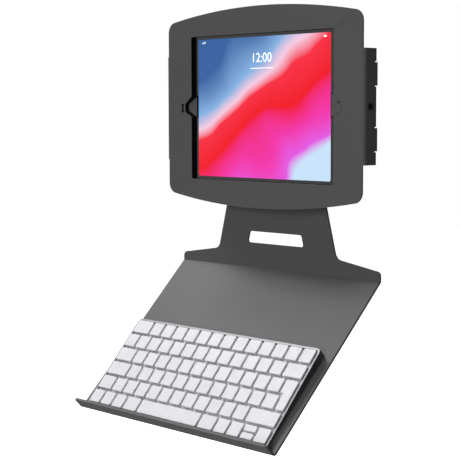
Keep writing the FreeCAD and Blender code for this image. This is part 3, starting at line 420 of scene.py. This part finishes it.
MATERIALS = {
    "bracket_coat": powder_coat("bracket_coat", COAT_LEVEL),
    "cover_coat": cover_coat(),
    "shell_coat": powder_coat("shell_coat", SHELL_LEVEL),
    "plate_coat": plate_coat(),
    "zinc_steel": zinc_steel(),
    "lock_black": lock_black(),
    "foam": foam(),
    "tablet_metal": anodised("tablet_metal", (0.45, 0.45, 0.47), roughness=0.42, metallic=0.75),
    "tablet_glass": border_glass(),
    "display": gloss_plastic("display", 0.02, roughness=0.2),
    "button_plastic": gloss_plastic("button_plastic", 0.01, roughness=0.15),
    "board_metal": anodised("board_metal", (0.20, 0.20, 0.21), roughness=0.5, metallic=1.0),
    "board_underside": matte_plastic("board_underside", (0.72, 0.72, 0.74)),
    "board_rubber": soft_rubber(),
    "battery_wrap": gloss_plastic("battery_wrap", 0.03, roughness=0.3),
    "switch_membrane": matte_plastic("switch_membrane", (0.62, 0.62, 0.65)),
    "keycaps": keycap_plastic(),
}


# ---------------------------------------------------------------- pieces from CAD nodes

SHEET_METAL = ["tray_bracket", "front_cover", "back_shell", "home_button_cover", "camera_cover"]
SHEET_EDGE = 0.35 * MM
CASE_EDGE = 0.3 * MM
KEYCAP_EDGE = 0.45 * MM


def paint_nodes():
    """Give every CAD node the material of its slot."""
    for name, obj in nodes.items():
        obj.data.materials.clear()
        obj.data.materials.append(MATERIALS[SLOT_OF[name]])


def finish_nodes():
    """Break the sharp edges of the pieces that show."""
    for node in SHEET_METAL:
        softened(node, SHEET_EDGE)
    softened("keyboard_case", CASE_EDGE)
    for node in SLOT_OF:
        if SLOT_OF[node] == "keycaps":
            softened(node, KEYCAP_EDGE, segments=4, merge_flat=True)


def softened(node, width, segments=3, merge_flat=False):
    """A finished copy of a CAD node, its sharp edges broken by a small bevel."""
    mesh = nodes[node].data.copy()
    mesh.name = node + "_finished"
    weld(mesh, merge_flat)
    mesh.materials.clear()
    mesh.materials.append(MATERIALS[SLOT_OF[node]])
    piece = bpy.data.objects.new(mesh.name, mesh)
    bpy.context.collection.objects.link(piece)
    bevel = piece.modifiers.new("broken_edges", "BEVEL")
    bevel.width = width
    bevel.segments = segments
    bevel.limit_method = "ANGLE"
    bevel.angle_limit = radians(30)
    bevel.harden_normals = True
    bevel.use_clamp_overlap = True
    normals = piece.modifiers.new("normals", "WEIGHTED_NORMAL")
    normals.keep_sharp = True
    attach(piece, BODY_OF[node])
    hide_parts(node)


def weld(mesh, merge_flat):
    """Join the corners of neighbouring faces, and shade the faces smooth."""
    solid = bmesh.new()
    solid.from_mesh(mesh)
    bmesh.ops.remove_doubles(solid, verts=solid.verts, dist=0.001 * MM)
    if merge_flat:
        bmesh.ops.dissolve_limit(solid, angle_limit=radians(1), verts=solid.verts, edges=solid.edges)
    for face in solid.faces:
        face.smooth = True
    solid.to_mesh(mesh)
    solid.free()


# ---------------------------------------------------------------- the screen

PICTURE_LIFT = 0.04 * MM
MARK_LIFT = 0.07 * MM
PICTURE_CORNER = 2 * MM
CLOCK_SIZE = 14 * MM
CLOCK_DROP = 27 * MM
LINE_DROP = 34 * MM
LINE_WIDE = 34 * MM
LINE_TALL = 0.8 * MM
STATUS_DROP = 4.5 * MM
BARS = 4
BARS_INSET = 6 * MM
BAR_STEP = 1.6 * MM
BAR_WIDE = 1.0 * MM
BAR_TALL = 0.8 * MM
BAR_GROWTH = 0.5 * MM
BATTERY_INSET = 10 * MM
BATTERY_WIDE = 4.0 * MM
BATTERY_TALL = 1.7 * MM


def lit_screen():
    """The lit picture, a skin just proud of the glass over the display."""
    low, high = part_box("tablet_display")
    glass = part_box("tablet_glass")[0].y
    points = [(x, glass - PICTURE_LIFT, z) for x, z in rounded_outline(low, high, PICTURE_CORNER)]
    screen_piece("screen_picture", points, [tuple(range(len(points)))], screen_picture(low, high))
    mark = lit_mark()
    clock_digits(low, high, glass - MARK_LIFT, mark)
    status_marks(low, high, glass - MARK_LIFT, mark)


def screen_piece(name, points, faces, material):
    mesh = bpy.data.meshes.new(name)
    mesh.from_pydata(points, [], faces)
    mesh.update()
    mesh.materials.append(material)
    place_on_screen(bpy.data.objects.new(name, mesh))


def place_on_screen(piece):
    bpy.context.collection.objects.link(piece)
    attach(piece, "stand")


def rounded_outline(low, high, radius, steps=6):
    """Corner points of a rounded rectangle in X and Z."""
    points = []
    corners = [
        (high.x - radius, high.z - radius),
        (low.x + radius, high.z - radius),
        (low.x + radius, low.z + radius),
        (high.x - radius, low.z + radius),
    ]
    for quarter, (x, z) in enumerate(corners):
        for step in range(steps + 1):
            turn = pi / 2 * (quarter + step / steps)
            points.append((x + radius * cos(turn), z + radius * sin(turn)))
    return points


def clock_digits(low, high, front, mark):
    """Generic clock digits, in the middle of the screen's upper part."""
    clock = bpy.data.curves.new("clock", "FONT")
    clock.body = "12:00"
    clock.size = CLOCK_SIZE
    clock.align_x = "CENTER"
    clock.materials.append(mark)
    digits = bpy.data.objects.new("clock", clock)
    digits.rotation_euler = (pi / 2, 0, 0)
    digits.location = ((low.x + high.x) / 2, front, high.z - CLOCK_DROP)
    place_on_screen(digits)


def status_marks(low, high, front, mark):
    """A row of signal bars, a battery sign and a line below the clock."""
    level = high.z - STATUS_DROP
    boxes = [
        (low.x + BARS_INSET + BAR_STEP * index, level, BAR_WIDE, BAR_TALL + BAR_GROWTH * index)
        for index in range(BARS)
    ]
    boxes.append((high.x - BATTERY_INSET, level, BATTERY_WIDE, BATTERY_TALL))
    boxes.append(((low.x + high.x - LINE_WIDE) / 2, high.z - LINE_DROP, LINE_WIDE, LINE_TALL))
    points = []
    faces = []
    for left, bottom, width, height in boxes:
        start = len(points)
        right = left + width
        top = bottom + height
        points += [
            (left, front, bottom),
            (right, front, bottom),
            (right, front, top),
            (left, front, top),
        ]
        faces.append(tuple(range(start, start + 4)))
    screen_piece("status_marks", points, faces, mark)


# ---------------------------------------------------------------- stage, lights and camera

FLOOR_HALF = 6.0
FLOOR_DROP = 0.42
AIM = Vector((0, -0.05, -0.12))
AMBIENT = 0.04
WALL_EDGE = 0.3
CAMERA_PLACE = Vector((1.0228, -1.0352, -0.0076))
AZIMUTH = radians(46.64)
ELEVATION = radians(4.905)
ROLL = radians(-0.14)
FOCAL = 105.0
SENSOR = 36.0


def stage():
    """A plain white floor, seen by the camera and adding no light of its own."""
    level = cad_box[0].z - FLOOR_DROP
    corners = [(-1, -1), (1, -1), (1, 1), (-1, 1)]
    mesh = bpy.data.meshes.new("floor")
    points = [(x * FLOOR_HALF, y * FLOOR_HALF, level) for x, y in corners]
    mesh.from_pydata(points, [], [(0, 1, 2, 3)])
    floor = bpy.data.objects.new("floor", mesh)
    bpy.context.collection.objects.link(floor)
    s = Shader("floor")
    s.set(Base_Color=grey(0.85), Roughness=0.8)
    s.set(Emission_Color=grey(1), Emission_Strength=1.0)
    mesh.materials.append(s.material)
    floor.visible_diffuse = False
    floor.visible_glossy = False


def area_light(name, place, size, power, mirrored=True):
    """A square soft box aimed at the stand; one that isn't mirrored leaves no highlight."""
    light = bpy.data.lights.new(name, "AREA")
    light.shape = "SQUARE"
    light.size = size
    light.energy = power
    lamp = bpy.data.objects.new(name, light)
    lamp.location = place
    lamp.rotation_euler = (AIM - Vector(place)).to_track_quat("-Z", "Y").to_euler()
    lamp.visible_glossy = mirrored
    bpy.context.collection.objects.link(lamp)


def lights():
    area_light("top_left_box", (-2.0, -0.15, 2.6), size=1.6, power=118)
    area_light("front_box", (0.72, -1.7, 0.1), size=1.0, power=10.5)
    area_light("back_box", (-0.3, 2.0, 0.8), size=1.2, power=14, mirrored=False)


def world():
    """White behind everything, a white wall on the left in reflections, and dim elsewhere."""
    sky = bpy.data.worlds.new("studio")
    bpy.context.scene.world = sky
    sky.use_nodes = True
    tree = sky.node_tree
    link = tree.links.new
    background = tree.nodes["Background"]
    background.inputs["Color"].default_value = grey(1)
    direction = tree.nodes.new("ShaderNodeSeparateXYZ")
    link(tree.nodes.new("ShaderNodeTexCoord").outputs["Generated"], direction.inputs[0])
    left = tree.nodes.new("ShaderNodeMapRange")
    left.inputs["From Min"].default_value = WALL_EDGE
    left.inputs["From Max"].default_value = -WALL_EDGE
    link(direction.outputs["X"], left.inputs["Value"])
    ray = tree.nodes.new("ShaderNodeLightPath").outputs
    wall = tree.nodes.new("ShaderNodeMath")
    wall.operation = "MULTIPLY"
    link(ray["Is Glossy Ray"], wall.inputs[0])
    link(left.outputs[0], wall.inputs[1])
    white = tree.nodes.new("ShaderNodeMath")
    white.operation = "MAXIMUM"
    link(ray["Is Camera Ray"], white.inputs[0])
    link(wall.outputs[0], white.inputs[1])
    strength = tree.nodes.new("ShaderNodeMapRange")
    strength.inputs["To Min"].default_value = AMBIENT
    strength.inputs["To Max"].default_value = 1.0
    link(white.outputs[0], strength.inputs["Value"])
    link(strength.outputs[0], background.inputs["Strength"])


def camera():
    """A long lens in front of the stand, to its right and a little above it."""
    data = bpy.data.cameras.new("camera")
    data.lens = FOCAL
    data.sensor_width = SENSOR
    data.clip_start = 0.05
    data.clip_end = 50
    view = bpy.data.objects.new("camera", data)
    back = Vector((sin(AZIMUTH) * cos(ELEVATION), -cos(AZIMUTH) * cos(ELEVATION), sin(ELEVATION)))
    level = (-back).to_track_quat("-Z", "Y")
    view.location = CAMERA_PLACE
    view.rotation_mode = "QUATERNION"
    view.rotation_quaternion = Quaternion(back, ROLL) @ level
    bpy.context.collection.objects.link(view)
    bpy.context.scene.camera = view


paint_nodes()
finish_nodes()
lit_screen()
stage()
lights()
world()
camera()
bpy.context.scene.view_settings.view_transform = "Standard"
